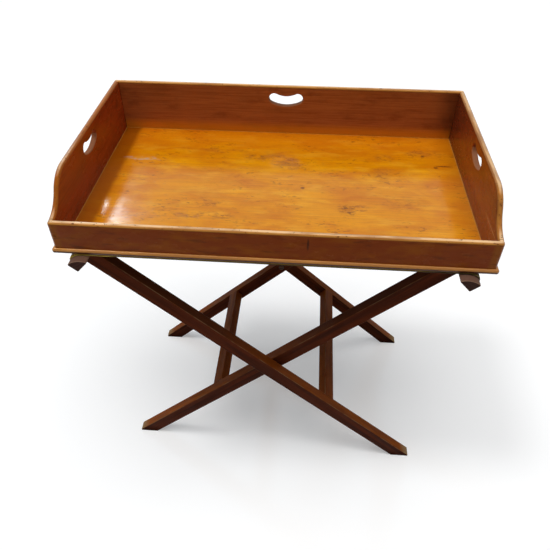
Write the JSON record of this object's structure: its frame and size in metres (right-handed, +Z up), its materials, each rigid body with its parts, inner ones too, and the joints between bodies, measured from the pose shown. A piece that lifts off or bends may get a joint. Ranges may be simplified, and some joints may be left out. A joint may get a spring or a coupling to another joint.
{
  "type": "butler's tray table",
  "caption": "Wooden butler's tray with a low front, swept ends and kidney-shaped hand-holes, resting on a folding X-frame stand with webbing straps.",
  "frame": {"origin": "on the floor, under the middle of the table's bounding box", "axes": "+X along the tray towards its right end, +Y from its low front to its tall back, +Z up"},
  "size_m": [0.768, 0.473, 0.745],
  "materials": {
    "tray_floor_wood": "French-polished mahogany board, glossy, with dark stains",
    "tray_side_wood": "French-polished dark red-brown mahogany, worn to tan on the rim",
    "stand_wood": "waxed dark mahogany, scuffed on its edges and toes",
    "rail_wood": "dull worn mahogany, greyish-brown on its ends",
    "webbing": "woven olive-brown webbing with yellow edge stripes",
    "screw_metal": "aged iron screws and washers",
    "tack_metal": "dark blued tacks"
  },
  "bodies": {
    "outer_frame": {"outer_front_leg": "stand_wood", "outer_rear_leg": "stand_wood", "outer_stretcher": "stand_wood", "left_rail": "rail_wood", "left_tacks": "tack_metal", "front_strap": "webbing", "rear_strap": "webbing", "front_pivot_screw": "screw_metal", "rear_pivot_screw": "screw_metal", "front_pivot_washer": "screw_metal", "rear_pivot_washer": "screw_metal"},
    "inner_frame": {"inner_front_leg": "stand_wood", "inner_rear_leg": "stand_wood", "inner_stretcher": "stand_wood", "right_rail": "rail_wood", "right_tacks": "tack_metal"},
    "tray": {"tray_base": "tray_floor_wood", "tray_front": "tray_side_wood", "tray_back": "tray_side_wood", "tray_left_end": "tray_side_wood", "tray_right_end": "tray_side_wood", "base_screws": "screw_metal"}
  },
  "joints": [
    {"name": "fold", "type": "hinge", "parent": "outer_frame", "child": "inner_frame", "pos_m": [0, -0.0125, 0.298], "axis": [0, -1, 0], "range_deg": [0, 83.4], "deforming": ["front_strap", "rear_strap"]},
    {"name": "tray_lift", "type": "slide", "parent": "outer_frame", "child": "tray", "axis": [0, 0, 1], "range_m": [0, 0.54]}
  ],
  "couplings": [
    {"joint": "tray_lift", "follows": "fold", "m_per_rad": 0.37}
  ]
}
